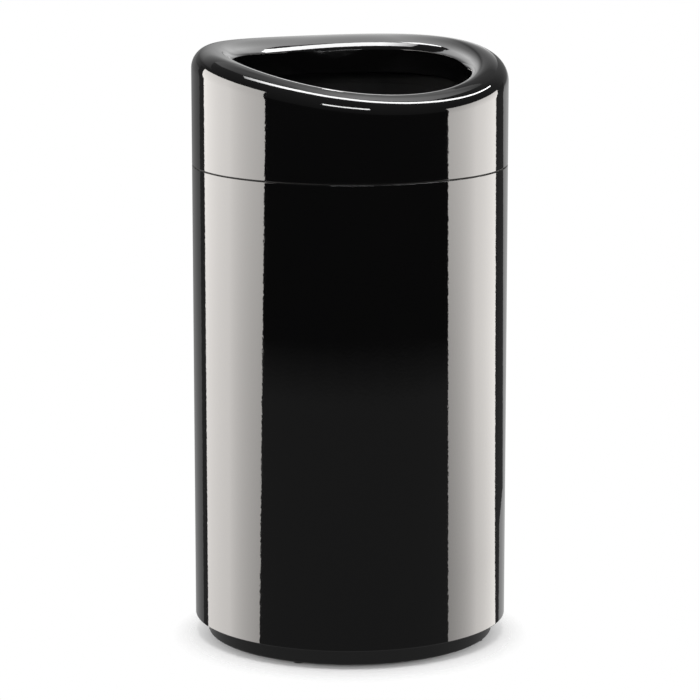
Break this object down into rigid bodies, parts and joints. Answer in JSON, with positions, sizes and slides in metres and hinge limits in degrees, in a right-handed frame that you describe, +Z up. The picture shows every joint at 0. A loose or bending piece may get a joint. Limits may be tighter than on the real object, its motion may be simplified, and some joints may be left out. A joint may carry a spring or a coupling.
{
  "type": "open-top trash can",
  "caption": "Round gloss-black floor trash can on a set-back plinth, with a lift-off lid whose arched, sloping rim rolls into a round open mouth over a lift-out liner.",
  "frame": {"origin": "on the floor, under the can's axis", "axes": "+Z up along the can's axis, the low side of the lid's rim towards -Y"},
  "size_m": [0.457, 0.457, 0.864],
  "materials": {
    "black_enamel": "gloss black baked enamel with slight orange peel",
    "lid_gloss": "gloss black, matched to the body",
    "bare_steel": "galvanised sheet",
    "zinc_fixings": "zinc plated",
    "black_rubber": "matt",
    "liner_plastic": "matt moulded polyethylene"
  },
  "bodies": {
    "body": {"body_shell": "black_enamel", "top_hoop": "bare_steel", "seam_strip": "bare_steel", "base_pan": "bare_steel", "plinth_ring": "black_enamel", "plinth_studs": "zinc_fixings", "plinth_washers": "zinc_fixings", "plinth_nuts": "zinc_fixings", "floor_glides": "black_rubber"},
    "liner": {"liner_bucket": "liner_plastic"},
    "bag_ring": {"bag_ring": "liner_plastic"},
    "gasket": {"lid_gasket": "black_rubber"},
    "lid": {"lid_shell": "lid_gloss", "lid_hoop": "bare_steel", "hoop_screws": "zinc_fixings"}
  },
  "joints": [
    {"name": "liner_lift", "type": "slide", "parent": "body", "child": "liner", "axis": [0, 0, 1], "range_m": [0, 0.7]},
    {"name": "bag_ring_lift", "type": "slide", "parent": "liner", "child": "bag_ring", "axis": [0, 0, 1], "range_m": [0, 0.06]},
    {"name": "lid_lift", "type": "slide", "parent": "bag_ring", "child": "gasket", "axis": [0, 0, 1], "range_m": [0, 0.2]},
    {"name": "lid_turn", "type": "hinge", "parent": "gasket", "child": "lid", "pos_m": [0, 0, 0.696], "axis": [0, 0, 1], "continuous": true}
  ]
}
